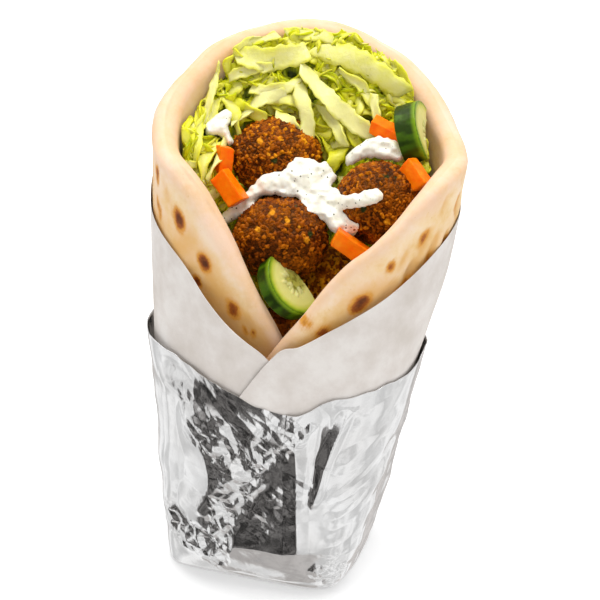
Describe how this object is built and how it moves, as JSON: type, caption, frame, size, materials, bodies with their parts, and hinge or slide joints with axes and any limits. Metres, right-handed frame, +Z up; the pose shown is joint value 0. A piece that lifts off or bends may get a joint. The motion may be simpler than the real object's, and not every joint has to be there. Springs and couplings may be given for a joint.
{
  "type": "falafel pita",
  "caption": "Flatbread rolled round falafel, shredded lettuce, cucumber, carrot and white sauce, wrapped in white paper and a cup of crumpled foil that stands on its flat base",
  "frame": {"origin": "on the foil's flat base, which the pita stands on, near the middle of that base", "axes": "+Z up along the roll, -Y towards the front where the roll opens and its flaps lap, +X to the right of someone who faces the front"},
  "size_m": [0.1168, 0.1005, 0.1922],
  "materials": {
    "bread": "soft matte baked flatbread with toasted spots",
    "paper": "matte white wrapping paper",
    "foil": "bright crumpled kitchen foil",
    "falafel": "rough dark brown fried crumb",
    "cucumber": "moist pale green flesh with a dark green rind",
    "carrot": "moist raw carrot",
    "lettuce": "moist pale green leaf",
    "sauce": "glossy white sauce"
  },
  "bodies": {
    "root": {"foil_cup": "foil", "paper_wrap": "paper", "flatbread": "bread", "falafel_back": "falafel", "falafel_front": "falafel", "falafel_right": "falafel", "falafel_low": "falafel", "falafel_bottom": "falafel", "cucumber_front": "cucumber", "cucumber_right": "cucumber", "carrot_left": "carrot", "carrot_left_back": "carrot", "carrot_middle": "carrot", "carrot_right": "carrot", "carrot_back": "carrot", "sauce_middle": "sauce", "sauce_right": "sauce", "sauce_left": "sauce", "lettuce": "lettuce"}
  },
  "joints": []
}
